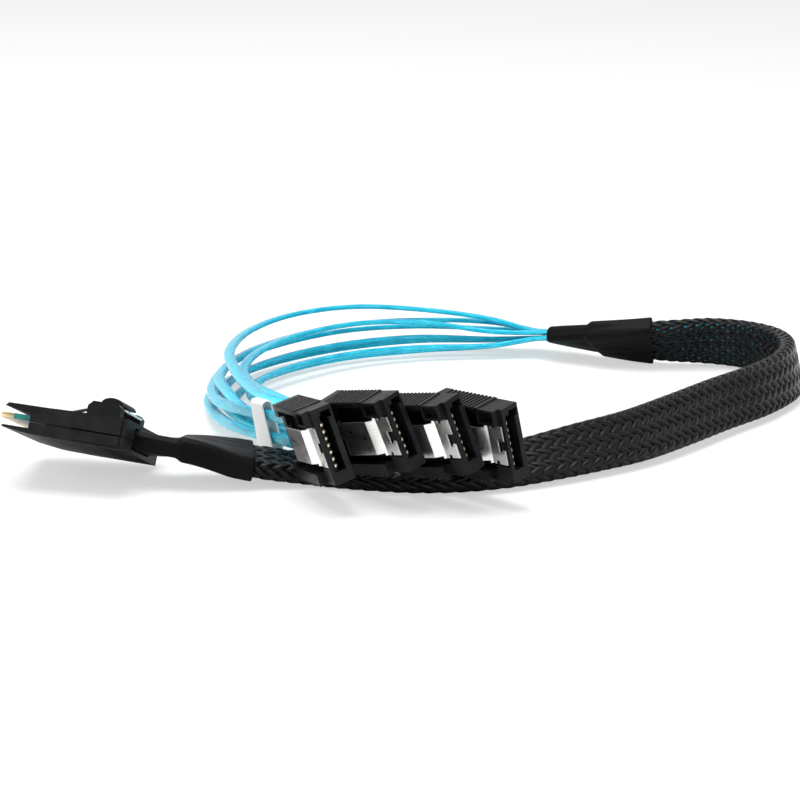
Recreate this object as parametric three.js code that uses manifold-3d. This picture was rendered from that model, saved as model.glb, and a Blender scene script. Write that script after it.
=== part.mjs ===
// Internal breakout cable: one wide 36-contact plug, eight flat twin-lead strips
// in a braided sleeve, and four small drive connectors with spring latches.
// Millimetres, +Z up, the cable lying on a flat surface at z = 0.
import * as THREE from 'three';
import { mergeVertices } from 'three/addons/utils/BufferGeometryUtils.js';
import Module from 'manifold-3d';

const wasm = await Module();
wasm.setup();

// Driving dimensions of a drive connector, along its nose, thickness and height
const CONNECTOR_LENGTH = 17.6;
const CONNECTOR_HEIGHT = 14;
const NOSE_LENGTH = 4.8;
const NOSE_THICKNESS = 3.9;
const GRIP_THICKNESS = 5.2;
const GRIP_PROUD = 0.2;
const RIDGE_COUNT = 11;
const RIDGE_PITCH = 0.95;
const RIDGE_DEPTH = 0.35;
const REAR_CHAMFER = 1.6;
const SLOT_WIDTH = 1.25;
const SLOT_BACK_WALL = 1.05;
const SLOT_TOP_MARGIN = 0.8;
const SLOT_BOTTOM_MARGIN = 2.2;
const SLOT_FOOT = 0.65;
const LIP_WIDTH = 0.9;
const LIP_DEPTH = 1.0;
const BLOCK_LENGTH = 4.4;
const BLOCK_SETBACK = 0.9;
const BLOCK_RIM = 0.45;
const BLOCK_BOTTOM = 4.1;
const CONTACT_COUNT = 7;
const CONTACT_PITCH = 1.27;
const CONTACT_WIDTH = 0.6;
const CONTACT_THICKNESS = 0.25;
const CONTACT_REACH = 3.6;
const WAFER_LENGTH = 8.5;
const POCKET_FLOOR = 2.8;
const POCKET_TOP = 6.1;
const POCKET_BOTTOM = -4.9;
const POCKET_REAR_WALL = 1.8;
const NOSE_RECESS = 0.42;
const NOSE_RECESS_HEIGHT = 7.9;
const PIECE_GAP = 0.15;

// Spring latch of a drive connector
const LATCH_SHEET = 0.3;
const LATCH_HEIGHT = 7.4;
const LATCH_PAD_HEIGHT = 6.4;
const LATCH_FRONT = 0.8;
const LATCH_KNEE = 4.5;
const LATCH_PAD_START = 6.3;
const LATCH_PAD_END = CONNECTOR_LENGTH - 4;
const LATCH_NOTCH = 1.8;
const LATCH_NOTCH_DEPTH = 1.5;

// Wide plug, along its nose, width and height
const PLUG_WIDTH = 22;
const PLUG_LENGTH = 18;
const PLUG_REAR_HEIGHT = 5.6;
const PLUG_FRONT_HEIGHT = 5.0;
const PLUG_WALL = 0.9;
const PLUG_SPLIT = 2.2;
const JAW_REACH = 5;
const JAW_ROOT = 1.3;
const JAW_TIP = 0.6;
const JAW_LIFT = 0.15;
const SIDE_PAD_DEPTH = 0.3;
const CARD_THICKNESS = 1;
const CARD_WIDTH = 18.6;
const CARD_REACH = 6.2;
const CARD_LENGTH = 15.5;
const CARD_RISE = 2.55;
const RAIL_START = 2.7;
const RAIL_LENGTH = 6.2;
const RAIL_WIDTH = 2.4;
const RAIL_HEIGHT = 2.6;
const RAIL_INSET = 0.6;
const REAR_RIB_COUNT = 5;
const LEVER_WIDTH = 9.6;
const LEVER_SHEET = 0.4;
const LEVER_PIVOT = 13.2;
const LEVER_REAR = 3.9;
const LEVER_RISE = 2.3;
const THUMB_LENGTH = 4.2;
const THUMB_HEIGHT = 1.2;

// Flat strips, sleeve and shrink tubes
const STRIP_WIDTH = 2.2;
const STRIP_THICKNESS = 1.1;
const STRIP_GAP = 0.25;
const STRIP_SPREAD = 1.3;
const STRIP_COLUMNS = 4;
const STRIP_ROWS = 2;
const SLEEVE_WALL = 0.35;
const SLEEVE_PLAY = 0.2;
const SHRINK_WALL = 0.35;
const SHRINK_PLAY = 0.25;
const TABLE_GAP = 0.1;
const TRUNK_STEPS = 44;
const SLEEVE_STEPS = 40;
const LOOSE_STEPS = 20;
const LABEL_HEIGHT = 10;
const LABEL_LENGTH = 5;
const LABEL_BACK = 18.5;
const LABEL_STEPS = 4;
const LABEL_WALL = 0.25;
const LABEL_PLAY = 0.3;
const STRAIGHT_RUN = 7;
const LABELLED_CONNECTOR = 0;
const LOOSE_LEAN = 12;

const BUNDLE_WIDTH = STRIP_COLUMNS * (STRIP_WIDTH + STRIP_GAP) - STRIP_GAP;
const BUNDLE_HEIGHT = STRIP_ROWS * (STRIP_THICKNESS + STRIP_GAP) - STRIP_GAP;
const SLEEVE_BORE = [BUNDLE_WIDTH / 2 + SLEEVE_PLAY, BUNDLE_HEIGHT / 2 + SLEEVE_PLAY];
const SLEEVE_HALF = SLEEVE_BORE.map((half) => half + SLEEVE_WALL);

// How each drive connector lies: the middle of its mouth on the flat side,
// then heading, nose-up pitch and roll in degrees
const CONNECTOR_POSES = [
  { at: [-9.9, -11.0, 13.6], heading: -69.6, pitch: 9.5, roll: 16.4 },
  { at: [2.2, -8.9, 15.6], heading: -50.8, pitch: 12.1, roll: 16.8 },
  { at: [12.5, -9.4, 15.2], heading: -47.5, pitch: 11.5, roll: 15.8 },
  { at: [21.5, -7.7, 13.0], heading: -47.4, pitch: 3.3, roll: 11.6 },
];

// The wide plug lies tipped on its far rear corner: the middle of its rear edge
const PLUG_POSE = { at: [-47.3, 8.5, 4.75], heading: 166.7, pitch: 5.6, roll: 23.8 };

// Route of the bundle from the wide plug to the breakout tube: x, y, the height
// above its resting place, and the lean of its wide side from level, in degrees
const TRUNK_ROUTE = [
  [-43.5, 8.8, 3.4, -20], [-36, 8.7, 3.5, -8], [-30, 9.0, 2.6, 2], [-24, 9.6, 1.2, 4],
  [-14, 9.8, 0.1, 1], [-4, 7.0, 0, 1], [6, 5.6, 0, 4], [16, 7.0, 0, 12],
  [25, 10.6, 0, 25], [34, 15.6, 0, 36], [43.5, 22.2, 0, 44], [53, 32.2, 0, 52],
  [62, 42.8, 0, 60], [71.8, 54.0, 0, 68], [78.8, 66.0, 0, 74], [80.8, 77.5, 0, 78],
  [78.5, 86.4, 0, 80], [73.2, 91.8, 0, 80], [66.0, 94.2, 0.1, 73], [57.5, 94.0, 0.3, 59],
  [49.5, 95.4, 0.5, 45], [41.5, 98.8, 0.9, 30], [33.4, 103.6, 1.4, 15],
];
// Shares of the bundle's length at which the sleeve and the tubes begin and end
const SLEEVE_START = 0.05;
const SLEEVE_END = 0.95;
const SHRINK_SHOULDER = 0.008;
const FRONT_SHRINK_END = 0.103;
const REAR_SHRINK_START = 0.899;
const REAR_SHRINK_END = 0.995;

// Loose routes of the eight strips from the breakout tube to the connectors,
// two per connector, upper then lower
const STRIP_ROUTES = [
  [[20, 110.4, 4.6], [4, 112, 4.8], [-12, 106, 5.2], [-26, 94, 5.0], [-34.6, 80, 4.8],
    [-37.6, 62, 4.8], [-36, 46, 5.8], [-30.6, 30, 8.2]],
  [[20, 110.2, 2.1], [4, 112, 1.5], [-12, 106, 1.3], [-26, 94, 1.3], [-35.4, 79, 1.4],
    [-38.4, 62, 2.2], [-36.6, 47, 3.0], [-31.2, 30.2, 4.6]],
  [[20, 108.2, 6.6], [4, 109, 6.9], [-11, 103, 7.3], [-24, 92, 7.0], [-33, 77, 6.8],
    [-36.2, 60, 6.8], [-34, 47, 7.2], [-29.5, 34, 6.9], [-22.5, 22, 8.4]],
  [[20, 107.6, 3.0], [4, 108.4, 3.2], [-11, 102.4, 3.3], [-24, 91, 3.3], [-32.6, 77, 3.3],
    [-35.8, 60, 3.6], [-34, 46, 4.6], [-29.5, 34, 4.6], [-22.5, 22, 5.4]],
  [[20, 106, 7.8], [5, 107, 9.7], [-10, 105, 10.8], [-23, 97, 10.9], [-31.5, 84, 10.5],
    [-34.6, 68, 10.2], [-32.6, 52, 10.2], [-29.5, 40, 10.2], [-26, 30, 10.6], [-18, 22, 10.2]],
  [[20, 104.4, 2.2], [4, 103, 1.5], [-11, 97.5, 1.3], [-23, 87, 1.3], [-31, 74, 1.3],
    [-33.4, 59, 1.7], [-31, 46, 2.6], [-27, 34, 3.6], [-18.2, 21, 6.4]],
  [[20, 103.6, 5.6], [5, 103.6, 7.6], [-9, 99.4, 8.4], [-21, 90, 8.2], [-29, 77, 7.8],
    [-31.6, 62, 7.8], [-29.6, 49, 8.4], [-26, 37, 9.7], [-18, 28, 9.0], [-8, 20, 9.6]],
  [[20, 101.6, 3.0], [4, 99.6, 3.0], [-9, 94, 3.2], [-20, 84, 3.4], [-27.6, 72, 3.5],
    [-29.8, 59, 3.8], [-27.5, 48, 4.6], [-22.4, 37, 5.2], [-11.2, 22, 6.4]],
];

const MATERIALS = {
  housing: { color: 0x16171a, roughness: 0.55, metalness: 0 },
  shell: { color: 0x131417, roughness: 0.5, metalness: 0 },
  wafer: { color: 0x0d0d0f, roughness: 0.6, metalness: 0 },
  steel: { color: 0xcfc8c0, roughness: 0.25, metalness: 1 },
  card: { color: 0x2f7d74, roughness: 0.4, metalness: 0 },
  clamp: { color: 0xd9d4c4, roughness: 0.6, metalness: 0 },
  strip: { color: 0x27a8d0, roughness: 0.3, metalness: 0 },
  braid: { color: 0x1a1c20, roughness: 0.6, metalness: 0 },
  shrink: { color: 0x17181a, roughness: 0.6, metalness: 0 },
  label: { color: 0xf4f4f2, roughness: 0.5, metalness: 0 },
};

const model = new THREE.Group();

// Turns a closed geometry into a solid for cutting and joining
function toSolid(geometry) {
  const bare = geometry.index ? geometry.toNonIndexed() : geometry.clone();
  bare.deleteAttribute('normal');
  bare.deleteAttribute('uv');
  const merged = mergeVertices(bare, 1e-5);
  return new wasm.Manifold(new wasm.Mesh({
    numProp: 3,
    vertProperties: new Float32Array(merged.attributes.position.array),
    triVerts: new Uint32Array(merged.index.array),
  }));
}

// Turns a solid back into a geometry
function toGeometry(solid) {
  const mesh = solid.getMesh();
  const geometry = new THREE.BufferGeometry();
  geometry.setAttribute('position', new THREE.BufferAttribute(mesh.vertProperties, 3));
  geometry.setIndex(new THREE.BufferAttribute(mesh.triVerts, 1));
  geometry.computeVertexNormals();
  return geometry;
}

// Box between two corners
function block([x0, y0, z0], [x1, y1, z1]) {
  const box = new THREE.BoxGeometry(x1 - x0, y1 - y0, z1 - z0);
  box.translate((x0 + x1) / 2, (y0 + y1) / 2, (z0 + z1) / 2);
  return toSolid(box);
}

// Outline in the XZ plane pushed along Y from y0 to y1
function slabXZ(points, y0, y1) {
  const shape = new THREE.Shape(points.map(([x, z]) => new THREE.Vector2(x, z)));
  const slab = new THREE.ExtrudeGeometry(shape, { depth: y1 - y0, bevelEnabled: false });
  slab.rotateX(Math.PI / 2);
  slab.translate(0, y1, 0);
  return toSolid(slab);
}

// Outline in the XY plane pushed along Z from z0 to z1
function slabXY(points, z0, z1) {
  const shape = new THREE.Shape(points.map(([x, y]) => new THREE.Vector2(x, y)));
  const slab = new THREE.ExtrudeGeometry(shape, { depth: z1 - z0, bevelEnabled: false });
  slab.translate(0, 0, z0);
  return toSolid(slab);
}

// Adds one named piece to a group
function addPiece(group, name, geometry, material) {
  const mesh = new THREE.Mesh(geometry, new THREE.MeshStandardMaterial(MATERIALS[material]));
  mesh.name = name;
  group.add(mesh);
  return mesh;
}

// Group turned by heading about Z, pitch nose up and roll about its own nose
function posedGroup({ at, heading, pitch, roll }) {
  const group = new THREE.Group();
  const turn = THREE.MathUtils.degToRad;
  group.rotation.set(turn(roll), turn(-pitch), turn(heading), 'ZYX');
  group.position.set(...at);
  model.add(group);
  group.updateMatrixWorld(true);
  return group;
}

// Drive connector housing: nose to +X, flat side at y = 0, latch side to -Y
function housingSolid() {
  const half = CONNECTOR_HEIGHT / 2;
  const wide = half + GRIP_PROUD;
  const side = [[0, half], [-NOSE_LENGTH, half], [-NOSE_LENGTH, wide]];
  for (let i = 0; i < RIDGE_COUNT; i += 1) {
    const x = -NOSE_LENGTH - RIDGE_PITCH * (i + 0.9);
    side.push([x, wide], [x - RIDGE_PITCH * 0.15, wide - RIDGE_DEPTH]);
    side.push([x - RIDGE_PITCH * 0.4, wide - RIDGE_DEPTH], [x - RIDGE_PITCH * 0.55, wide]);
  }
  const top = [...side, [-CONNECTOR_LENGTH, wide]];
  const bottom = side.map(([x, z]) => [x, -z]).reverse();
  const rearFoot = [[-CONNECTOR_LENGTH, REAR_CHAMFER - wide], [REAR_CHAMFER - CONNECTOR_LENGTH, -wide]];
  let solid = slabXZ([...top, ...rearFoot, ...bottom], -GRIP_THICKNESS, 0);
  const beyond = half + 1;
  const outer = -GRIP_THICKNESS - 1;
  const front = -BLOCK_SETBACK;
  solid = solid.subtract(block([-NOSE_LENGTH, outer, -beyond], [1, -NOSE_THICKNESS, BLOCK_BOTTOM]));
  solid = solid.subtract(block([front, outer, -beyond], [1, -NOSE_THICKNESS, beyond]));
  const rear = front - BLOCK_LENGTH;
  return solid.subtract(block(
    [rear + BLOCK_RIM, outer, BLOCK_BOTTOM + BLOCK_RIM],
    [front - BLOCK_RIM, -NOSE_THICKNESS, half - BLOCK_RIM],
  ));
}

// Slot for the drive's blade, with the key foot at its top end, and the cavity
// behind it for the wafer and the two strips
function slotSolid() {
  const top = CONNECTOR_HEIGHT / 2 - SLOT_TOP_MARGIN;
  const bottom = SLOT_BOTTOM_MARGIN - CONNECTOR_HEIGHT / 2;
  const back = -SLOT_BACK_WALL;
  const front = back - SLOT_WIDTH;
  const slot = block([-NOSE_LENGTH, front, bottom], [1, back, top]);
  const foot = block([-NOSE_LENGTH, front, top - 1.3], [1, back + SLOT_FOOT, top]);
  const lip = block([-LIP_DEPTH, front - LIP_WIDTH, bottom], [1, front + 0.1, -bottom + 0.7]);
  const cavity = block([-CONNECTOR_LENGTH - 1, front, bottom], [-NOSE_LENGTH + 0.5, back, -bottom]);
  return slot.add(foot).add(lip).add(cavity);
}

// Recesses on the latch side: a deep one between two rails for the spring pad,
// and a shallow one across the nose
function latchRecess() {
  const outer = -GRIP_THICKNESS - 1;
  const rear = POCKET_REAR_WALL - CONNECTOR_LENGTH;
  const front = -BLOCK_SETBACK - BLOCK_LENGTH;
  const deep = block([rear, outer, POCKET_BOTTOM], [front, -POCKET_FLOOR, POCKET_TOP])
    .add(block([front - 0.1, outer, POCKET_BOTTOM], [-NOSE_LENGTH + 1, -POCKET_FLOOR, BLOCK_BOTTOM]));
  const noseHalf = NOSE_RECESS_HEIGHT / 2;
  const nose = block([-NOSE_LENGTH - 1, outer, -noseHalf], [-0.5, NOSE_RECESS - NOSE_THICKNESS, noseHalf]);
  const window = block(
    [rear - POCKET_REAR_WALL - 1, outer, POCKET_BOTTOM + 1.2],
    [rear + 1, -GRIP_THICKNESS + 0.9, -POCKET_BOTTOM],
  );
  return deep.add(nose).add(window);
}

// Insulating wafer with its row of seven contact fingers
function waferGeometry() {
  const mid = -SLOT_BACK_WALL - SLOT_WIDTH / 2;
  const half = (SLOT_WIDTH - 2 * PIECE_GAP) / 2;
  const span = CONNECTOR_HEIGHT / 2 - SLOT_BOTTOM_MARGIN - PIECE_GAP;
  let solid = block([-NOSE_LENGTH - WAFER_LENGTH, mid - half, -span], [-NOSE_LENGTH - 0.1, mid + half, span]);
  const first = CONTACT_PITCH * (CONTACT_COUNT - 1) / 2;
  const near = mid - half;
  for (let i = 0; i < CONTACT_COUNT; i += 1) {
    const z = first - CONTACT_PITCH * i;
    solid = solid.add(block(
      [-NOSE_LENGTH - 1, near, z - CONTACT_WIDTH / 2],
      [-NOSE_LENGTH + CONTACT_REACH, near + CONTACT_THICKNESS, z + CONTACT_WIDTH / 2],
    ));
  }
  return toGeometry(solid);
}

// Stamped spring latch: nose plate, ramp, raised thumb pad and curled end
function latchGeometry() {
  const low = NOSE_RECESS - NOSE_THICKNESS - PIECE_GAP;
  const high = -GRIP_THICKNESS;
  const outline = [
    [-LATCH_FRONT, low], [-LATCH_KNEE, low], [-LATCH_PAD_START, high + LATCH_SHEET + 0.3],
    [-LATCH_PAD_END, high + LATCH_SHEET], [-LATCH_PAD_END - 0.9, high + LATCH_SHEET + 1],
    [-LATCH_PAD_END - 1.15, high + 0.85], [-LATCH_PAD_END - 0.1, high],
    [-LATCH_PAD_START + 0.1, high + 0.3], [-LATCH_KNEE + 0.2, low - LATCH_SHEET],
    [-LATCH_FRONT, low - LATCH_SHEET],
  ];
  const half = LATCH_HEIGHT / 2;
  const padHalf = LATCH_PAD_HEIGHT / 2;
  const far = -GRIP_THICKNESS - 1;
  let solid = slabXY(outline, -half, half);
  for (const side of [-1, 1]) {
    const z = [side * padHalf, side * (half + 1)].sort((a, b) => a - b);
    solid = solid.subtract(block([-LATCH_PAD_END - 3, far, z[0]], [-LATCH_KNEE - 0.3, 0, z[1]]));
    const notch = [side * (half - 0.6), side * (half + 1)].sort((a, b) => a - b);
    solid = solid.subtract(block([-LATCH_KNEE + 0.9, far, notch[0]], [-LATCH_KNEE + 1.7, 0, notch[1]]));
  }
  const notchHalf = LATCH_NOTCH / 2;
  const root = -LATCH_FRONT - LATCH_NOTCH_DEPTH;
  solid = solid.subtract(block([root, far, -notchHalf], [1, 0, notchHalf]));
  solid = solid.subtract(block([root, far, -notchHalf - 0.5], [root + 0.7, 0, notchHalf]));
  return toGeometry(solid);
}

// Lower and upper shells of the wide plug: nose to +X, up +Z, rear face at x = 0
function plugShell(isUpper) {
  const half = PLUG_WIDTH / 2;
  const tip = PLUG_LENGTH + JAW_REACH;
  const profile = isUpper
    ? [[0, PLUG_SPLIT + PIECE_GAP], [PLUG_LENGTH, PLUG_SPLIT + PIECE_GAP],
      [PLUG_LENGTH, PLUG_FRONT_HEIGHT - JAW_ROOT], [tip, PLUG_FRONT_HEIGHT + JAW_LIFT - JAW_TIP],
      [tip - 0.6, PLUG_FRONT_HEIGHT + JAW_LIFT], [PLUG_LENGTH - 3, PLUG_FRONT_HEIGHT + 0.25],
      [RAIL_START + RAIL_LENGTH, PLUG_REAR_HEIGHT - 0.15], [0, PLUG_REAR_HEIGHT]]
    : [[0, 0], [PLUG_LENGTH - 6, 0], [PLUG_LENGTH, 0.1], [tip, 0.1 + JAW_TIP], [tip, 0.5 + JAW_TIP],
      [PLUG_LENGTH, JAW_ROOT - 0.2], [PLUG_LENGTH, PLUG_SPLIT], [0, PLUG_SPLIT]];
  let solid = slabXZ(profile, -half, half);
  const inner = half - PLUG_WALL;
  const cardHalf = CARD_WIDTH / 2 + PIECE_GAP;
  const cardLow = CARD_RISE - PIECE_GAP;
  const cardHigh = CARD_RISE + CARD_THICKNESS + PIECE_GAP;
  const cardRear = PLUG_LENGTH - CARD_LENGTH + CARD_REACH;
  solid = solid.subtract(block([cardRear - PIECE_GAP, -cardHalf, cardLow], [tip, cardHalf, cardHigh]));
  const wrap = SHRINK_PLAY + SHRINK_WALL + PIECE_GAP;
  const room = [BUNDLE_WIDTH / 2 + wrap, BUNDLE_HEIGHT / 2 + wrap];
  const exitHeight = PLUG_REAR_HEIGHT / 2;
  solid = solid.subtract(block(
    [-1, -room[0], exitHeight - room[1]], [cardRear + 0.5, room[0], exitHeight + room[1]],
  ));
  const mouthLow = isUpper ? PLUG_SPLIT : JAW_ROOT - 0.2;
  const mouthHigh = isUpper ? PLUG_FRONT_HEIGHT - JAW_ROOT : PLUG_SPLIT + 1;
  solid = solid.subtract(block([PLUG_LENGTH - 2.6, -inner, mouthLow], [tip, inner, mouthHigh]));
  return solid;
}

// Raised rear half on the sides, ribs under the rear end
function lowerShellGeometry() {
  let solid = plugShell(false);
  const half = PLUG_WIDTH / 2;
  for (const side of [-1, 1]) {
    const y = [side * (half - 0.1), side * (half + SIDE_PAD_DEPTH)].sort((a, b) => a - b);
    solid = solid.add(block([0.9, y[0], 0.35], [PLUG_LENGTH * 0.55, y[1], PLUG_SPLIT - 0.1]));
  }
  for (let i = 0; i < REAR_RIB_COUNT; i += 1) {
    const x = 0.5 + i * 1.1;
    solid = solid.subtract(block([x, -half + 2, -1], [x + 0.45, half - 2, 0.3]));
  }
  return toGeometry(solid);
}

// Upper shell with the two rails that flank the release lever
function upperShellGeometry() {
  let solid = plugShell(true);
  const half = PLUG_WIDTH / 2;
  for (const side of [-1, 1]) {
    const inner = LEVER_WIDTH / 2 + RAIL_INSET;
    const y = [side * inner, side * (inner + RAIL_WIDTH)].sort((a, b) => a - b);
    const top = PLUG_REAR_HEIGHT + RAIL_HEIGHT;
    const end = RAIL_START + RAIL_LENGTH;
    const rail = slabXZ(
      [[RAIL_START, PLUG_REAR_HEIGHT - 1], [end, PLUG_REAR_HEIGHT - 1], [end, top - 0.9],
        [end - 0.9, top], [RAIL_START + 0.6, top], [RAIL_START, top - 0.6]],
      y[0], y[1],
    );
    solid = solid.add(rail);
    const pad = [side * (half - 0.1), side * (half + SIDE_PAD_DEPTH)].sort((a, b) => a - b);
    solid = solid.add(block([0.9, pad[0], PLUG_SPLIT + PIECE_GAP + 0.1], [PLUG_LENGTH * 0.55, pad[1], PLUG_REAR_HEIGHT - 0.5]));
  }
  return toGeometry(solid);
}

// Circuit card that carries the plug's contacts
function cardGeometry() {
  const front = PLUG_LENGTH + CARD_REACH;
  const half = CARD_WIDTH / 2;
  const low = CARD_RISE;
  const outline = [[front - CARD_LENGTH, -half], [front - 0.6, -half], [front, -half + 0.6],
    [front, half - 0.6], [front - 0.6, half], [front - CARD_LENGTH, half]];
  return toGeometry(slabXY(outline, low, low + CARD_THICKNESS));
}

// Stainless release lever on top of the wide plug, with its front hooks
function leverGeometry() {
  const base = PLUG_FRONT_HEIGHT + 0.7;
  const rear = PLUG_REAR_HEIGHT + LEVER_RISE;
  const outline = [
    [LEVER_PIVOT + 2.6, base - 0.1], [LEVER_PIVOT + 2.6, base + LEVER_SHEET],
    [LEVER_PIVOT, base + LEVER_SHEET], [LEVER_REAR + 3, rear + LEVER_SHEET],
    [LEVER_REAR - 1.6, rear - 0.3], [LEVER_REAR - 1.6, rear - 0.3 - LEVER_SHEET],
    [LEVER_REAR + 3, rear], [LEVER_PIVOT, base],
  ];
  const half = LEVER_WIDTH / 2;
  let solid = slabXZ(outline, -half, half);
  solid = solid.subtract(block([LEVER_PIVOT - 3, -half + 2.4, 0], [LEVER_PIVOT + 1.2, half - 2.4, 20]));
  return toGeometry(solid);
}

// Black moulded thumb pad on the lever's rear end, arched with a ribbed back
function thumbGeometry() {
  const base = PLUG_REAR_HEIGHT + LEVER_RISE + LEVER_SHEET + 0.12;
  const start = LEVER_REAR - 0.4;
  const arc = [];
  for (let i = 0; i <= 8; i += 1) {
    const angle = Math.PI * i / 8;
    arc.push([start + THUMB_LENGTH / 2 + THUMB_LENGTH / 2 * Math.cos(angle), base + THUMB_HEIGHT * Math.sin(angle)]);
  }
  return toGeometry(slabXZ(arc, -LEVER_WIDTH / 2 + 0.4, LEVER_WIDTH / 2 - 0.4));
}

// Ring of points round a section: rounded rectangle with the given half sizes,
// its wide sides cut into equal parts so that a twist stays smooth
function sectionRing({ centre, wide, thin }, halfWide, halfThin, corner, perCorner, parts = 1) {
  const ring = [];
  const flat = halfWide - corner;
  const add = (along, across) => {
    ring.push(centre.clone().addScaledVector(wide, along).addScaledVector(thin, across));
  };
  const quarters = [[1, 1, 0], [-1, 1, 90], [-1, -1, 180], [1, -1, 270]];
  for (const [signWide, signThin, startAngle] of quarters) {
    for (let i = 0; i < perCorner; i += 1) {
      const angle = THREE.MathUtils.degToRad(startAngle + 90 * i / (perCorner - 1));
      const along = signWide * flat + corner * Math.cos(angle);
      add(along, signThin * (halfThin - corner) + corner * Math.sin(angle));
    }
    for (let i = 1; i < parts && signWide === signThin; i += 1) {
      add(signWide * flat * (1 - 2 * i / parts), signThin * halfThin);
    }
  }
  return ring;
}

// Closed geometry from faces listed as triangles of points
function fromTriangles(triangles) {
  const geometry = new THREE.BufferGeometry().setFromPoints(triangles.flat());
  const merged = mergeVertices(geometry, 1e-5);
  merged.computeVertexNormals();
  return merged;
}

// Side faces between two rings, wound to face out, or in when flipped
function wallBetween(ringA, ringB, flipped) {
  const faces = [];
  const count = ringA.length;
  for (let i = 0; i < count; i += 1) {
    const j = (i + 1) % count;
    const quads = [[ringA[i], ringA[j], ringB[j]], [ringA[i], ringB[j], ringB[i]]];
    faces.push(...(flipped ? quads.map(([a, b, c]) => [a, c, b]) : quads));
  }
  return faces;
}

// Solid bar through a list of rings, closed at both ends
function barGeometry(rings) {
  const faces = [];
  for (let i = 0; i + 1 < rings.length; i += 1) faces.push(...wallBetween(rings[i], rings[i + 1], false));
  const first = rings[0];
  const last = rings[rings.length - 1];
  for (let i = 1; i + 1 < first.length; i += 1) {
    faces.push([first[0], first[i + 1], first[i]]);
    faces.push([last[0], last[i], last[i + 1]]);
  }
  return fromTriangles(faces);
}

// Open tube through matching outer and inner rings
function tubeGeometry(outer, inner) {
  const faces = [];
  for (let i = 0; i + 1 < outer.length; i += 1) {
    faces.push(...wallBetween(outer[i], outer[i + 1], false));
    faces.push(...wallBetween(inner[i], inner[i + 1], true));
  }
  faces.push(...wallBetween(inner[0], outer[0], false));
  faces.push(...wallBetween(outer[outer.length - 1], inner[inner.length - 1], false));
  return fromTriangles(faces);
}

// Section frames along a curve: the wide side starts level, to the left of the
// way the route runs, and turns up by the lean in degrees
function frameAt(curve, leans, fraction) {
  const t = curve.getUtoTmapping(fraction);
  const tangent = curve.getTangent(t);
  const left = new THREE.Vector3(0, 0, 1).cross(tangent).normalize();
  const lift = tangent.clone().cross(left).normalize();
  const place = t * (leans.length - 1);
  const index = Math.min(Math.floor(place), leans.length - 2);
  const lean = THREE.MathUtils.degToRad(
    THREE.MathUtils.lerp(leans[index], leans[index + 1], place - index),
  );
  const wide = left.clone().multiplyScalar(Math.cos(lean)).addScaledVector(lift, Math.sin(lean));
  const thin = lift.clone().multiplyScalar(Math.cos(lean)).addScaledVector(left, -Math.sin(lean));
  return { centre: curve.getPoint(t), wide, thin, tangent };
}

// Height of the sleeve's middle when it rests on the table at a lean
function restHeight(lean) {
  const angle = THREE.MathUtils.degToRad(Math.abs(lean));
  return TABLE_GAP + SLEEVE_HALF[0] * Math.sin(angle) + SLEEVE_HALF[1] * Math.cos(angle);
}

// Shares of a length at even steps between two of them
function evenly(from, to, steps) {
  return Array.from({ length: steps + 1 }, (unused, i) => from + (to - from) * i / steps);
}

// Frames of the bundle at given shares of its length, from inside the wide plug
// to the breakout tube's end
function trunkFrames(plug, shares) {
  const inside = plug.localToWorld(new THREE.Vector3(3, 0, PLUG_REAR_HEIGHT / 2));
  const exit = plug.localToWorld(new THREE.Vector3(-0.5, 0, PLUG_REAR_HEIGHT / 2));
  const laid = TRUNK_ROUTE.map(([x, y, lift, lean]) => new THREE.Vector3(x, y, restHeight(lean) + lift));
  const points = [inside, exit, ...laid];
  const leans = [-PLUG_POSE.roll, -PLUG_POSE.roll, ...TRUNK_ROUTE.map((point) => point[3])];
  const curve = new THREE.CatmullRomCurve3(points, false, 'centripetal');
  return shares.map((share) => frameAt(curve, leans, share));
}

// Centre of one strip inside the bundle
function laneFrame(frame, column, row) {
  const along = (column - (STRIP_COLUMNS - 1) / 2) * (STRIP_WIDTH + STRIP_GAP);
  const across = (row - (STRIP_ROWS - 1) / 2) * (STRIP_THICKNESS + STRIP_GAP);
  const centre = frame.centre.clone().addScaledVector(frame.wide, along).addScaledVector(frame.thin, across);
  return { centre, wide: frame.wide, thin: frame.thin };
}

// Way of one strip, whole: its lane through the sleeve, then a curve with its
// leans on to the connector, which it enters upright after a straight run
function stripWay(trunk, route, column, row, connector, side) {
  const lanes = trunk.map((frame) => laneFrame(frame, column, row));
  const end = lanes[lanes.length - 1];
  const lastStep = end.centre.clone().sub(lanes[lanes.length - 2].centre).normalize();
  const lead = end.centre.clone().addScaledVector(lastStep, 3);
  const mid = -SLOT_BACK_WALL - SLOT_WIDTH / 2;
  const height = side * (STRIP_WIDTH / 2 + STRIP_SPREAD);
  const entry = (back) => connector.localToWorld(new THREE.Vector3(-back, mid, height));
  const stop = NOSE_LENGTH + WAFER_LENGTH + PIECE_GAP;
  const free = [end.centre, lead, ...route.map((point) => new THREE.Vector3(...point))];
  const backs = [CONNECTOR_LENGTH + STRAIGHT_RUN, CONNECTOR_LENGTH + 2, stop];
  const points = [...free, ...backs.map(entry)];
  const upright = uprightLean(connector, points);
  const leans = free.map((point, index) => (index < 2 ? trunkLeanEnd() : LOOSE_LEAN));
  leans[leans.length - 1] = column === LABELLED_CONNECTOR ? upright : (LOOSE_LEAN + upright) / 2;
  while (leans.length < points.length) leans.push(upright);
  return { lanes, curve: new THREE.CatmullRomCurve3(points, false, 'centripetal'), leans };
}

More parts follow.
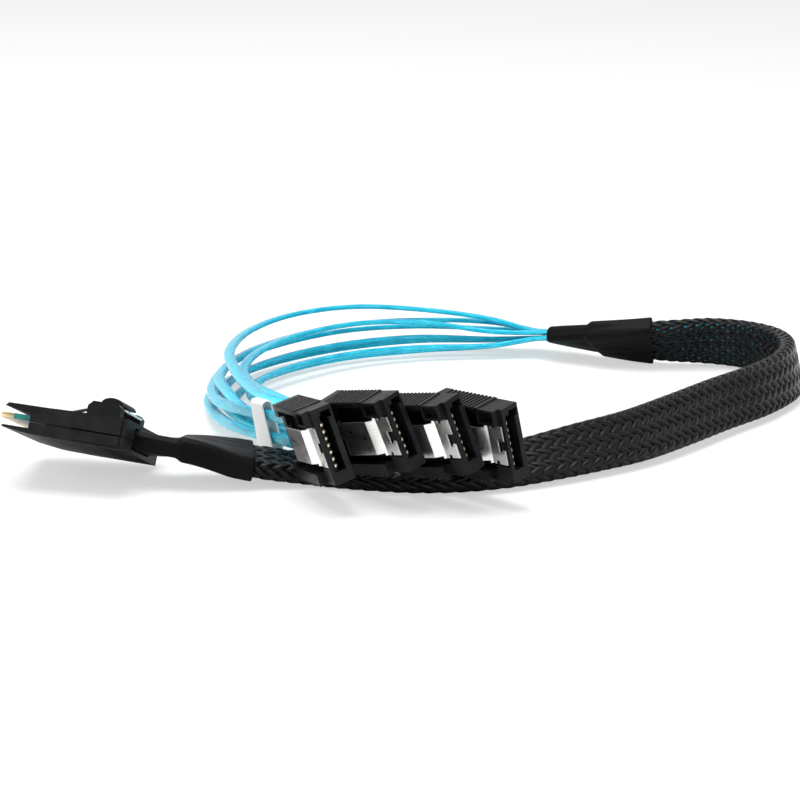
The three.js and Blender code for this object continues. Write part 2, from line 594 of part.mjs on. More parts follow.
// Solid of one strip along its way
function stripGeometry({ lanes, curve, leans }) {
  const loose = evenly(1 / LOOSE_STEPS, 1, LOOSE_STEPS - 1).map((share) => frameAt(curve, leans, share));
  const corner = STRIP_THICKNESS * 0.36;
  const rings = [...lanes, ...loose].map((frame) => (
    sectionRing(frame, STRIP_WIDTH / 2, STRIP_THICKNESS / 2, corner, 2)
  ));
  return barGeometry(rings);
}

// Lean of the bundle where the strips leave it
function trunkLeanEnd() {
  return TRUNK_ROUTE[TRUNK_ROUTE.length - 1][3];
}

// Lean that sets a strip's wide side along its connector's height
function uprightLean(connector, points) {
  const up = new THREE.Vector3(0, 0, 1).transformDirection(connector.matrixWorld);
  const last = points[points.length - 1];
  const tangent = last.clone().sub(points[points.length - 2]).normalize();
  const left = new THREE.Vector3(0, 0, 1).cross(tangent).normalize();
  const lift = tangent.clone().cross(left).normalize();
  return THREE.MathUtils.radToDeg(Math.atan2(up.dot(lift), up.dot(left)));
}

// Paper label folded round a pair of strips, open at both ends. It follows the
// middle between them, and its wide side runs from one to the other.
function labelGeometry(pair) {
  const half = LABEL_HEIGHT / 2;
  const bore = STRIP_THICKNESS / 2 + LABEL_PLAY;
  const frames = evenly(LABEL_BACK + LABEL_LENGTH, LABEL_BACK, LABEL_STEPS).map((back) => {
    const [upper, lower] = pair.map(({ curve, leans }) => (
      frameAt(curve, leans, 1 - back / curve.getLength())
    ));
    const wide = upper.centre.clone().sub(lower.centre).normalize();
    const thin = upper.tangent.clone().cross(wide).normalize();
    return { centre: upper.centre.clone().lerp(lower.centre, 0.5), wide, thin };
  });
  const outer = frames.map((frame) => sectionRing(frame, half, bore + LABEL_WALL, bore, 4));
  const inner = frames.map((frame) => sectionRing(frame, half - LABEL_WALL, bore, bore * 0.8, 4));
  return tubeGeometry(outer, inner);
}

// Thin tube round the bundle over a stretch of it
function sleeveGeometry(frames) {
  const outer = frames.map((frame) => sectionRing(frame, SLEEVE_HALF[0], SLEEVE_HALF[1], 1.2, 3, 4));
  const inner = frames.map((frame) => sectionRing(frame, SLEEVE_BORE[0], SLEEVE_BORE[1], 0.4, 3, 4));
  return tubeGeometry(outer, inner);
}

// Shrink tube: tight on the strips over one list of frames and swelling over
// the sleeve in the other
function shrinkGeometry(tight, loose, startsTight) {
  const tightBore = [BUNDLE_WIDTH / 2 + SHRINK_PLAY, BUNDLE_HEIGHT / 2 + SHRINK_PLAY];
  const looseBore = SLEEVE_HALF.map((half) => half + SHRINK_PLAY);
  const ends = [[tight, tightBore], [loose, looseBore]];
  const outer = [];
  const inner = [];
  for (const [frames, bore] of startsTight ? ends : ends.reverse()) {
    for (const frame of frames) {
      inner.push(sectionRing(frame, bore[0], bore[1], 0.4, 3, 4));
      outer.push(sectionRing(frame, bore[0] + SHRINK_WALL, bore[1] + SHRINK_WALL, 1.2, 3, 4));
    }
  }
  return tubeGeometry(outer, inner);
}

const plug = posedGroup(PLUG_POSE);
addPiece(plug, 'sas_lower_shell', lowerShellGeometry(), 'shell');
addPiece(plug, 'sas_upper_shell', upperShellGeometry(), 'shell');
addPiece(plug, 'sas_paddle_card', cardGeometry(), 'card');
addPiece(plug, 'sas_release_lever', leverGeometry(), 'steel');
addPiece(plug, 'sas_thumb_pad', thumbGeometry(), 'shell');

const trunk = trunkFrames(plug, evenly(0, 1, TRUNK_STEPS));

const housing = housingSolid().subtract(slotSolid()).subtract(latchRecess());
const labelledPair = [];
const connectors = CONNECTOR_POSES.map((pose, index) => {
  const number = index + 1;
  const connector = posedGroup(pose);
  addPiece(connector, `sata_housing_${number}`, toGeometry(housing), 'housing');
  addPiece(connector, `sata_wafer_${number}`, waferGeometry(), 'wafer');
  addPiece(connector, `sata_latch_${number}`, latchGeometry(), 'steel');
  [1, -1].forEach((side, row) => {
    const way = stripWay(trunk, STRIP_ROUTES[2 * index + row], index, 1 - row, connector, side);
    if (index === LABELLED_CONNECTOR) labelledPair.push(way);
    addPiece(model, `strip_${number}${row === 0 ? 'a' : 'b'}`, stripGeometry(way), 'strip');
  });
  return connector;
});

addPiece(model, 'cable_label', labelGeometry(labelledPair), 'label');

const sleeveRun = trunkFrames(plug, evenly(SLEEVE_START, SLEEVE_END, SLEEVE_STEPS));
addPiece(model, 'braided_sleeve', sleeveGeometry(sleeveRun), 'braid');

const neck = trunkFrames(plug, evenly(0, SLEEVE_START - SHRINK_SHOULDER, 3));
const cuff = trunkFrames(plug, evenly(SLEEVE_START - SHRINK_SHOULDER / 4, FRONT_SHRINK_END, 4));
addPiece(model, 'sas_shrink_tube', shrinkGeometry(neck, cuff, true), 'shrink');

const rearCuff = trunkFrames(plug, evenly(REAR_SHRINK_START, SLEEVE_END + SHRINK_SHOULDER / 4, 3));
const rearNeck = trunkFrames(plug, evenly(SLEEVE_END + SHRINK_SHOULDER, REAR_SHRINK_END, 3));
addPiece(model, 'breakout_shrink_tube', shrinkGeometry(rearNeck, rearCuff, false), 'shrink');

// Stands the model with the middle of its connectors' and plug's box at the origin
const rigid = new THREE.Box3();
for (const group of [plug, ...connectors]) rigid.expandByObject(group, true);
const middle = rigid.getCenter(new THREE.Vector3());
model.position.set(-middle.x, -middle.y, 0);

export default model;
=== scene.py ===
import math

import bmesh
import bpy
from mathutils import Matrix, Vector


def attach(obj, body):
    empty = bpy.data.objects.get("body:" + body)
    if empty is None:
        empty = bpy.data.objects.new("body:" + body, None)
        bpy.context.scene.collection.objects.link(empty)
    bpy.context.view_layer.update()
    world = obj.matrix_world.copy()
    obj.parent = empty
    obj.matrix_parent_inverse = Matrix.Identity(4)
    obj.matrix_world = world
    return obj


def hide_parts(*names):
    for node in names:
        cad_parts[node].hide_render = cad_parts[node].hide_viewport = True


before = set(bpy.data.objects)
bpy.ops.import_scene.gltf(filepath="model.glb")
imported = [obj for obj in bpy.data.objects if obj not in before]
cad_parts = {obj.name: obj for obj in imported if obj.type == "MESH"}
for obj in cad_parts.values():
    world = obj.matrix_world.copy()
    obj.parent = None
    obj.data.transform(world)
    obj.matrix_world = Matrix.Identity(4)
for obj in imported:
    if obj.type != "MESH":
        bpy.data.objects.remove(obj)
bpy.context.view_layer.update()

MM = 0.001

# Share of the floor's tone that is plain white to the camera, and the floor's half size
FLOOR_WHITE = 0.52
FLOOR_REACH = 3.0

# Strength of the white surround as a light
WORLD_LEVEL = 0.42

# Camera: place from the layout's origin, degrees up from straight down, lens and sensor
CAMERA_PLACE = (0, -0.43015, 0.13319)
CAMERA_TILT = 75
CAMERA_LENS = 113.4
CAMERA_SENSOR = 36

# Maps that carry a piece's own directions: local place, strip, yarn and tube
LOCAL_MAP = "local"
STRIP_MAP = "strip"
YARN_MAP = "yarn"
TUBE_MAP = "tube"

# Pads on the card's leading edge, in millimetres from the plug's rear
CARD_PAD_PITCH = 0.8
CARD_PAD_START = 21.6

# Copies of the solids: points this close are joined; in degrees, faces this flat are
# joined and edges sharper than this are rounded
MERGE_DISTANCE = 2e-6
FLAT_ANGLE = 0.2
SHARP_ANGLE = 22

# Shift from the layout, in which the routes are written, to the row's origin
SHIFT = Vector((24.48739, -6.30758, 0.0)) * MM

# Sections of the strips, the bundle, the sleeve and the tubes, in metres
STRIP_WIDTH = 0.0022
STRIP_THICKNESS = 0.0011
STRIP_GAP = 0.00025
STRIP_SPREAD = 0.0013
STRIP_COLUMNS = 4
STRIP_ROWS = 2
SLEEVE_PLAY = 0.0002
SLEEVE_WALL = 0.00035
SHRINK_WALL = 0.00035
SHRINK_PLAY = 0.00025
TABLE_GAP = 0.0001

# A strip's section: points round it, how square its lobes are (less is squarer), and
# the depth and width of the groove between them
STRIP_POINTS = 20
STRIP_ROUNDNESS = 0.62
STRIP_GROOVE = 0.16
STRIP_GROOVE_WIDTH = 0.22

# Wide plug's rear: its height, how deep the bundle starts in it, and where it leaves
PLUG_REAR_HEIGHT = 0.0056
PLUG_ENTRY = 0.003
PLUG_LEAVE = 0.0005

# Drive connector: its length, where the strips stop inside it and its slot's sideways
# place; then the straight runs before it, and the one after the breakout tube
CONNECTOR_LENGTH = 0.0176
STRIP_STOP = 0.01345
SLOT_MIDDLE = -0.001675
STRAIGHT_RUN = 0.007
LAST_RUN = 0.002
FIRST_RUN = 0.003

# The connector whose strips carry the label, and the lean of the loose strips
LABELLED_CONNECTOR = 0
LOOSE_LEAN = 12

CONNECTOR_POSES = (
    ((-0.0099, -0.0110, 0.0136), -69.6, 9.5, 16.4),
    ((0.0022, -0.0089, 0.0156), -50.8, 12.1, 16.8),
    ((0.0125, -0.0094, 0.0152), -47.5, 11.5, 15.8),
    ((0.0215, -0.0077, 0.0130), -47.4, 3.3, 11.6),
)
PLUG_POSE = ((-0.0473, 0.0085, 0.00475), 166.7, 5.6, 23.8)

# Bundle: x, y, the height above its resting place, and its lean in degrees
TRUNK_ROUTE = (
    (-0.0435, 0.0088, 0.0034, -20), (-0.036, 0.0087, 0.0035, -8), (-0.03, 0.009, 0.0026, 2),
    (-0.024, 0.0096, 0.0012, 4), (-0.014, 0.0098, 0.0001, 1), (-0.004, 0.007, 0.0, 1),
    (0.006, 0.0056, 0.0, 4), (0.016, 0.007, 0.0, 12), (0.025, 0.0106, 0.0, 25),
    (0.034, 0.0156, 0.0, 36), (0.0435, 0.0222, 0.0, 44), (0.053, 0.0322, 0.0, 52),
    (0.062, 0.0428, 0.0, 60), (0.0718, 0.054, 0.0, 68), (0.0788, 0.066, 0.0, 74),
    (0.0808, 0.0775, 0.0, 78), (0.0785, 0.0864, 0.0, 80), (0.0732, 0.0918, 0.0, 80),
    (0.066, 0.0942, 0.0001, 73), (0.0575, 0.094, 0.0003, 59), (0.0495, 0.0954, 0.0005, 45),
    (0.0415, 0.0988, 0.0009, 30), (0.0334, 0.1036, 0.0014, 15),
)

# Each strip from the breakout tube to the run into its connector
STRIP_ROUTES = (
    ((0.02, 0.1104, 0.0046), (0.004, 0.112, 0.0048), (-0.012, 0.106, 0.0052),
     (-0.026, 0.094, 0.005), (-0.0346, 0.08, 0.0048), (-0.0376, 0.062, 0.0048),
     (-0.036, 0.046, 0.0058), (-0.0306, 0.03, 0.0082)),
    ((0.02, 0.1102, 0.0021), (0.004, 0.112, 0.0015), (-0.012, 0.106, 0.0013),
     (-0.026, 0.094, 0.0013), (-0.0354, 0.079, 0.0014), (-0.0384, 0.062, 0.0022),
     (-0.0366, 0.047, 0.003), (-0.0312, 0.0302, 0.0046)),
    ((0.02, 0.1082, 0.0066), (0.004, 0.109, 0.0069), (-0.011, 0.103, 0.0073),
     (-0.024, 0.092, 0.007), (-0.033, 0.077, 0.0068), (-0.0362, 0.06, 0.0068),
     (-0.034, 0.047, 0.0072), (-0.0295, 0.034, 0.0069), (-0.0225, 0.022, 0.0084)),
    ((0.02, 0.1076, 0.003), (0.004, 0.1084, 0.0032), (-0.011, 0.1024, 0.0033),
     (-0.024, 0.091, 0.0033), (-0.0326, 0.077, 0.0033), (-0.0358, 0.06, 0.0036),
     (-0.034, 0.046, 0.0046), (-0.0295, 0.034, 0.0046), (-0.0225, 0.022, 0.0054)),
    ((0.02, 0.106, 0.0078), (0.005, 0.107, 0.0097), (-0.01, 0.105, 0.0108),
     (-0.023, 0.097, 0.0109), (-0.0315, 0.084, 0.0105), (-0.0346, 0.068, 0.0102),
     (-0.0326, 0.052, 0.0102), (-0.0295, 0.04, 0.0102), (-0.026, 0.03, 0.0106),
     (-0.018, 0.022, 0.0102)),
    ((0.02, 0.1044, 0.0022), (0.004, 0.103, 0.0015), (-0.011, 0.0975, 0.0013),
     (-0.023, 0.087, 0.0013), (-0.031, 0.074, 0.0013), (-0.0334, 0.059, 0.0017),
     (-0.031, 0.046, 0.0026), (-0.027, 0.034, 0.0036), (-0.0182, 0.021, 0.0064)),
    ((0.02, 0.1036, 0.0056), (0.005, 0.1036, 0.0076), (-0.009, 0.0994, 0.0084),
     (-0.021, 0.09, 0.0082), (-0.029, 0.077, 0.0078), (-0.0316, 0.062, 0.0078),
     (-0.0296, 0.049, 0.0084), (-0.026, 0.037, 0.0097), (-0.018, 0.028, 0.009),
     (-0.008, 0.02, 0.0096)),
    ((0.02, 0.1016, 0.003), (0.004, 0.0996, 0.003), (-0.009, 0.094, 0.0032),
     (-0.02, 0.084, 0.0034), (-0.0276, 0.072, 0.0035), (-0.0298, 0.059, 0.0038),
     (-0.0275, 0.048, 0.0046), (-0.0224, 0.037, 0.0052), (-0.0112, 0.022, 0.0064)),
)

BUNDLE_WIDTH = STRIP_COLUMNS * STRIP_WIDTH + (STRIP_COLUMNS - 1) * STRIP_GAP
BUNDLE_HEIGHT = STRIP_ROWS * STRIP_THICKNESS + (STRIP_ROWS - 1) * STRIP_GAP
SLEEVE_BORE = (BUNDLE_WIDTH / 2 + SLEEVE_PLAY, BUNDLE_HEIGHT / 2 + SLEEVE_PLAY)
SLEEVE_HALF = (SLEEVE_BORE[0] + SLEEVE_WALL, SLEEVE_BORE[1] + SLEEVE_WALL)

# Shares of the bundle's length at which the sleeve and the tubes begin and end
SLEEVE_START = 0.05
SLEEVE_END = 0.95
SHRINK_SHOULDER = 0.008
FRONT_SHRINK_END = 0.103
REAR_SHRINK_START = 0.899
REAR_SHRINK_END = 0.995

# Braid: yarns each way, the width, thickness and section of one, how far it rises and
# dips, how long it stays up or down, and its turns round the bundle
YARNS = 16
YARN_WIDTH = 0.0013
YARN_THICKNESS = 0.00009
YARN_PROFILE = ((-1, -1), (1, -1), (1, 0.6), (0, 2.2), (-1, 0.6))
YARN_SWING = 0.00012
YARN_STAY = 1.3
BRAID_TURNS = 5
BRAID_STEPS = 480
BRAID_CORNER = 0.0012
OUTLINE_STEPS = 480

# Share of the sleeve after which the braid opens, over which it does, and by how much
BRAID_OPENS = 0.72
BRAID_OPENS_OVER = 0.08
BRAID_OPENING = 0.34

# Shrink tubes: steps along and round, corners, depth of the lines, share of the wall
# that is left at the mouths, step of the map and distance at which points are joined
TUBE_STEPS = 60
TUBE_POINTS = 96
TUBE_CORNER = 0.0014
TUBE_BORE_CORNER = TUBE_CORNER - 0.0005
TUBE_CREASE = 0.00009
TUBE_MOUTH = 0.75
TUBE_MAP_STEP = 0.5
TUBE_MERGE = 1e-7

# Steps along the bundle for the sleeve and tubes, and for the strips in it, and along
# the loose part of a strip
TRUNK_STEPS = 264
LANE_STEPS = 132
STRIP_STEPS = 180

# Contact tips in a drive connector's mouth: path in x and y with the directions
# of its thickness
CONTACT_COUNT = 7
CONTACT_PITCH = 0.00127
CONTACT_WIDTH = 0.00048
CONTACT_SHEET = 0.00016
CONTACT_ROUNDING = 0.00005
CONTACT_CORNERS = ((-1, -1), (1, -1), (1, 1), (-1, 1))
CONTACT_PATH = (
    ((-0.0016, -0.0021), (0, 1)), ((-0.0011, -0.00222), (0.4, 0.9)),
    ((-0.00085, -0.00242), (0.8, 0.6)), ((-0.00078, -0.00268), (1, 0.1)),
)


# Materials

def new_material(name):
    """Material with its tree's nodes and links and its main shader"""
    material = bpy.data.materials.new(name)
    material.use_nodes = True
    nodes, links = material.node_tree.nodes, material.node_tree.links
    return material, nodes, links, nodes["Principled BSDF"]


def add_noise(tree, scale, detail=3.0, stretch=(1, 1, 1), map_name=None):
    """Noise over the object's own place, or over a named map, in millimetres"""
    nodes, links = tree
    if map_name is None:
        place = nodes.new("ShaderNodeTexCoord").outputs["Object"]
        factor = 1 / MM
    else:
        source = nodes.new("ShaderNodeUVMap")
        source.uv_map = map_name
        place = source.outputs["UV"]
        factor = 1.0
    mapping = nodes.new("ShaderNodeMapping")
    mapping.inputs["Scale"].default_value = [factor * share for share in stretch]
    links.new(place, mapping.inputs["Vector"])
    noise = nodes.new("ShaderNodeTexNoise")
    noise.inputs["Scale"].default_value = scale
    noise.inputs["Detail"].default_value = detail
    links.new(mapping.outputs[0], noise.inputs["Vector"])
    return noise.outputs["Fac"]


def add_range(tree, value, low, high, start=0.3, end=0.7):
    """Value mapped from start-end to low-high and held there"""
    nodes, links = tree
    node = nodes.new("ShaderNodeMapRange")
    node.inputs["From Min"].default_value = start
    node.inputs["From Max"].default_value = end
    node.inputs["To Min"].default_value = low
    node.inputs["To Max"].default_value = high
    links.new(value, node.inputs["Value"])
    return node.outputs["Result"]


def add_mix(tree, factor, first, second):
    """Colour between two, each a colour or the output of a node"""
    nodes, links = tree
    node = nodes.new("ShaderNodeMix")
    node.data_type = "RGBA"
    links.new(factor, node.inputs["Factor"])
    for socket, colour in ((node.inputs[6], first), (node.inputs[7], second)):
        if isinstance(colour, tuple):
            socket.default_value = (*colour, 1)
        else:
            links.new(colour, socket)
    return node.outputs[2]


def add_bump(tree, shader, height, distance, strength=1.0):
    """Bump on the shader's normal, over any bump that is there"""
    nodes, links = tree
    bump = nodes.new("ShaderNodeBump")
    bump.inputs["Distance"].default_value = distance
    bump.inputs["Strength"].default_value = strength
    links.new(height, bump.inputs["Height"])
    if shader.inputs["Normal"].is_linked:
        links.new(shader.inputs["Normal"].links[0].from_socket, bump.inputs["Normal"])
    links.new(bump.outputs[0], shader.inputs["Normal"])


def moulded_plastic(name, dark, light, gloss, dull):
    """Moulded plastic: cloudy tone, uneven gloss and a fine spark-eroded grain"""
    material, nodes, links, shader = new_material(name)
    tree = (nodes, links)
    cloud = add_noise(tree, 0.35)
    links.new(add_mix(tree, add_range(tree, cloud, 0, 1), dark, light), shader.inputs["Base Color"])
    patches = add_noise(tree, 1.1)
    links.new(add_range(tree, patches, gloss, dull), shader.inputs["Roughness"])
    shader.inputs["Specular IOR Level"].default_value = 0.12
    add_bump(tree, shader, add_noise(tree, 5.5, 2.0), 0.00003, 0.6)
    return material


def rolled_steel(name):
    """Bright rolled stainless sheet with fine lines along its length"""
    material, nodes, links, shader = new_material(name)
    tree = (nodes, links)
    lines = add_noise(tree, 1.0, 4.0, (0.5, 9.0, 1), LOCAL_MAP)
    tone = add_mix(tree, add_range(tree, lines, 0, 1), (0.70, 0.69, 0.67), (0.86, 0.85, 0.83))
    links.new(tone, shader.inputs["Base Color"])
    shader.inputs["Metallic"].default_value = 1
    smudges = add_noise(tree, 0.5)
    links.new(add_range(tree, smudges, 0.26, 0.38), shader.inputs["Roughness"])
    add_bump(tree, shader, lines, 0.0000015, 0.4)
    return material


def gilt(name):
    """Gold-plated contact metal, a little uneven"""
    material, nodes, links, shader = new_material(name)
    tree = (nodes, links)
    cloud = add_noise(tree, 2.0)
    links.new(add_mix(tree, add_range(tree, cloud, 0, 1), (0.88, 0.72, 0.46), (0.97, 0.87, 0.66)),
              shader.inputs["Base Color"])
    shader.inputs["Metallic"].default_value = 0.7
    links.new(add_range(tree, cloud, 0.3, 0.44), shader.inputs["Roughness"])
    return material


def circuit_card(name):
    """Solder-masked card with a row of gilt pads along its leading edge"""
    material, nodes, links, shader = new_material(name)
    tree = (nodes, links)
    source = nodes.new("ShaderNodeUVMap")
    source.uv_map = LOCAL_MAP
    parts = nodes.new("ShaderNodeSeparateXYZ")
    links.new(source.outputs["UV"], parts.inputs[0])
    pads = nodes.new("ShaderNodeMath")
    pads.operation = "PINGPONG"
    pads.inputs[1].default_value = CARD_PAD_PITCH / 2
    links.new(parts.outputs["Y"], pads.inputs[0])
    on_pad = add_range(tree, pads.outputs[0], 0, 1, 0.10, 0.14)
    mask = add_mix(tree, add_range(tree, add_noise(tree, 0.8), 0, 1), (0.01, 0.20, 0.17),
                   (0.02, 0.30, 0.26))
    contact = add_mix(tree, on_pad, (0.30, 0.22, 0.11), (0.72, 0.55, 0.30))
    at_edge = add_range(tree, parts.outputs["X"], 0, 1, CARD_PAD_START, CARD_PAD_START + 0.1)
    links.new(add_mix(tree, at_edge, mask, contact), shader.inputs["Base Color"])
    links.new(add_range(tree, at_edge, 0.3, 0.42, 0, 1), shader.inputs["Roughness"])
    add_bump(tree, shader, on_pad, 0.00002, 0.5)
    return material


def twin_lead(name):
    """Clear blue jacket over two bright cores, with painted shade in a deeper blue at its edges
    where they turn from view
    """
    material, nodes, links, shader = new_material(name)
    tree = (nodes, links)
    source = nodes.new("ShaderNodeUVMap")
    source.uv_map = STRIP_MAP
    parts = nodes.new("ShaderNodeSeparateXYZ")
    links.new(source.outputs["UV"], parts.inputs[0])
    reach = nodes.new("ShaderNodeMath")
    reach.operation = "PINGPONG"
    reach.inputs[1].default_value = 0.5
    links.new(parts.outputs["Y"], reach.inputs[0])
    core = add_range(tree, reach.outputs[0], 0, 1, 0.12, 0.36)
    cloud = add_noise(tree, 1.0, 2.0, (0.25, 9.0, 1), STRIP_MAP)
    jacket = add_mix(tree, add_range(tree, cloud, 0, 1), (0.0, 0.40, 0.62), (0.04, 0.68, 0.86))
    bright = add_mix(tree, core, jacket, (0.22, 0.90, 0.97))
    # Painted shade: the jacket's colour deepens to dark blue where its surface turns away from the
    # camera, standing in for shade along the strips' edges
    facing = nodes.new("ShaderNodeLayerWeight")
    facing.inputs["Blend"].default_value = 0.35
    painted_edge_shade = add_range(tree, facing.outputs["Facing"], 0, 0.85, 0.3, 0.95)
    links.new(add_mix(tree, painted_edge_shade, bright, (0.0, 0.24, 0.44)), shader.inputs["Base Color"])
    shader.inputs["Transmission Weight"].default_value = 0.2
    shader.inputs["IOR"].default_value = 1.4
    shader.inputs["Specular IOR Level"].default_value = 0.2
    shader.inputs["Coat Weight"].default_value = 0.12
    shader.inputs["Coat Roughness"].default_value = 0.08
    links.new(add_range(tree, cloud, 0.18, 0.3), shader.inputs["Roughness"])
    add_bump(tree, shader, cloud, 0.00004, 0.6)
    return material


def braid_yarn(name):
    """Flat yarn of many glossy black filaments side by side"""
    material, nodes, links, shader = new_material(name)
    tree = (nodes, links)
    threads = add_noise(tree, 1.0, 2.0, (0.35, 7.0, 1), YARN_MAP)
    tone = add_mix(tree, add_range(tree, threads, 0, 1), (0.0004, 0.0004, 0.0006),
                   (0.006, 0.0065, 0.0075))
    links.new(tone, shader.inputs["Base Color"])
    links.new(add_range(tree, threads, 0.36, 0.20), shader.inputs["Roughness"])
    shader.inputs["Specular IOR Level"].default_value = 0.13
    add_bump(tree, shader, threads, 0.00004, 0.9)
    return material


def shrunk_tube(name):
    """Matte black shrink tube with fine lines drawn along it"""
    material, nodes, links, shader = new_material(name)
    tree = (nodes, links)
    lines = add_noise(tree, 1.0, 3.0, (0.06, 2.4, 1), TUBE_MAP)
    tone = add_mix(tree, add_range(tree, lines, 0, 1), (0.001, 0.001, 0.001), (0.005, 0.005, 0.0055))
    links.new(tone, shader.inputs["Base Color"])
    links.new(add_range(tree, lines, 0.36, 0.52), shader.inputs["Roughness"])
    shader.inputs["Specular IOR Level"].default_value = 0.06
    add_bump(tree, shader, lines, 0.00006, 0.8)
    add_bump(tree, shader, add_noise(tree, 7.0, 2.0), 0.000012, 0.5)
    return material


def label_paper(name):
    """White label stock with a faint fibre and a slight gloss"""
    material, nodes, links, shader = new_material(name)
    tree = (nodes, links)
    fibre = add_noise(tree, 6.0, 5.0)
    tone = add_mix(tree, add_range(tree, fibre, 0, 1), (0.88, 0.88, 0.87), (0.94, 0.94, 0.93))
    links.new(tone, shader.inputs["Base Color"])
    links.new(add_range(tree, fibre, 0.4, 0.55), shader.inputs["Roughness"])
    add_bump(tree, shader, fibre, 0.00001, 0.3)
    return material


# Camera and studio

def add_camera():
    """Camera at the photograph's angle and distance"""
    data = bpy.data.cameras.new("camera")
    data.lens = CAMERA_LENS
    data.sensor_width = CAMERA_SENSOR
    data.clip_start = 0.01
    camera = bpy.data.objects.new("camera", data)
    camera.location = SHIFT + Vector(CAMERA_PLACE)
    camera.rotation_euler = (math.radians(CAMERA_TILT), 0, 0)
    bpy.context.collection.objects.link(camera)
    bpy.context.scene.camera = camera


def add_lamp(name, place, target, size, power):
    """Soft square lamp that faces a point"""
    data = bpy.data.lights.new(name, "AREA")
    data.size = size
    data.energy = power
    lamp = bpy.data.objects.new(name, data)
    lamp.location = place
    lamp.rotation_euler = (Vector(target) - Vector(place)).to_track_quat("-Z", "Y").to_euler()
    bpy.context.collection.objects.link(lamp)


def add_world(level):
    """Even white surround: bright to the camera and to gloss, softer as a light"""
    world = bpy.data.worlds.new("world")
    world.use_nodes = True
    nodes, links = world.node_tree.nodes, world.node_tree.links
    back = nodes["Background"]
    back.inputs["Color"].default_value = (1, 1, 1, 1)
    path = nodes.new("ShaderNodeLightPath")
    seen = nodes.new("ShaderNodeMath")
    seen.operation = "MAXIMUM"
    links.new(path.outputs["Is Camera Ray"], seen.inputs[0])
    links.new(path.outputs["Is Transmission Ray"], seen.inputs[1])
    any_seen = nodes.new("ShaderNodeMath")
    any_seen.operation = "MAXIMUM"
    links.new(seen.outputs[0], any_seen.inputs[0])
    links.new(path.outputs["Is Glossy Ray"], any_seen.inputs[1])
    level_mix = nodes.new("ShaderNodeMapRange")
    level_mix.inputs["To Min"].default_value = level
    level_mix.inputs["To Max"].default_value = 1
    links.new(any_seen.outputs[0], level_mix.inputs["Value"])
    links.new(level_mix.outputs[0], back.inputs["Strength"])
    bpy.context.scene.world = world


def add_floor():
    """Plain pale floor, partly white to the camera, which keeps the shadow"""
    mesh = bpy.data.meshes.new("floor")
    reach = FLOOR_REACH
    corners = [(-reach, -reach, 0), (reach, -reach, 0), (reach, reach, 0), (-reach, reach, 0)]
    mesh.from_pydata(corners, [], [(0, 1, 2, 3)])
    floor = bpy.data.objects.new("floor", mesh)
    bpy.context.collection.objects.link(floor)
    material, nodes, links, shader = new_material("floor")
    shader.inputs["Base Color"].default_value = (0.93, 0.935, 0.94, 1)
    shader.inputs["Roughness"].default_value = 0.7
    shader.inputs["Specular IOR Level"].default_value = 0.2
    path = nodes.new("ShaderNodeLightPath")
    share = nodes.new("ShaderNodeMath")
    share.operation = "MULTIPLY"
    share.inputs[1].default_value = FLOOR_WHITE
    links.new(path.outputs["Is Camera Ray"], share.inputs[0])
    white = nodes.new("ShaderNodeEmission")
    mix = nodes.new("ShaderNodeMixShader")
    links.new(share.outputs[0], mix.inputs["Fac"])
    links.new(shader.outputs[0], mix.inputs[1])
    links.new(white.outputs[0], mix.inputs[2])
    links.new(mix.outputs[0], nodes["Material Output"].inputs["Surface"])
    mesh.materials.append(material)


def add_studio():
    """Overhead softbox, a side box and a low fill"""
    middle = (0.0, 0.03, 0.0)
    add_lamp("overhead", (-0.1, 0.03, 0.9), middle, 0.6, 8.8)
    add_lamp("side", (-0.8, -0.3, 0.5), middle, 0.5, 2.6)
    add_lamp("fill", (0.5, -0.8, 0.35), middle, 0.5, 2.2)
    add_world(WORLD_LEVEL)
    add_floor()


# Curves and sections

class Route:
    """Centripetal spline through points, read by its share of the length"""

    DIVISIONS = 200

    def __init__(self, points):
        self.points = [Vector(point) for point in points]
        self.lengths = [0.0]
        last = self.point(0)
        for i in range(1, self.DIVISIONS + 1):
            here = self.point(i / self.DIVISIONS)
            self.lengths.append(self.lengths[-1] + (here - last).length)
            last = here

    def point(self, t):
        """Place at a parameter from 0 to 1"""
        points = self.points
        count = len(points)
        place = (count - 1) * t
        index = min(int(place), count - 2)
        weight = place - index
        before = points[index - 1] if index > 0 else 2 * points[0] - points[1]
        start, end = points[index], points[index + 1]
        after = points[index + 2] if index + 2 < count else 2 * points[-1] - points[-2]
        gaps = [(b - a).length ** 0.5 for a, b in ((before, start), (start, end), (end, after))]
        middle = gaps[1]
        leave = (start - before) / gaps[0] - (end - before) / (gaps[0] + middle)
        leave = leave + (end - start) / middle
        arrive = (end - start) / middle - (after - start) / (middle + gaps[2])
        arrive = arrive + (after - end) / gaps[2]
        leave, arrive = leave * middle, arrive * middle
        square = (-3 * start + 3 * end - 2 * leave - arrive) * weight ** 2
        cube = (2 * start - 2 * end + leave + arrive) * weight ** 3
        return start + leave * weight + square + cube

    def parameter(self, fraction):
        """Parameter at a share of the length"""
        target = fraction * self.lengths[-1]
        low, high = 0, self.DIVISIONS
        while high - low > 1:
            middle = (low + high) // 2
            if self.lengths[middle] <= target:
                low = middle
            else:
                high = middle
        span = self.lengths[high] - self.lengths[low]
        return (low + (target - self.lengths[low]) / span) / self.DIVISIONS

    def tangent(self, t):
        """Direction of travel at a parameter"""
        ends = max(t - 1e-4, 0), min(t + 1e-4, 1)
        return (self.point(ends[1]) - self.point(ends[0])).normalized()


class Section:
    """A place on a route with the directions of its wide and thin sides"""

    def __init__(self, centre, wide, thin):
        self.centre, self.wide, self.thin = centre, wide, thin

    def at(self, along, across):
        """Point at a distance along the wide and the thin side"""
        return self.centre + self.wide * along + self.thin * across


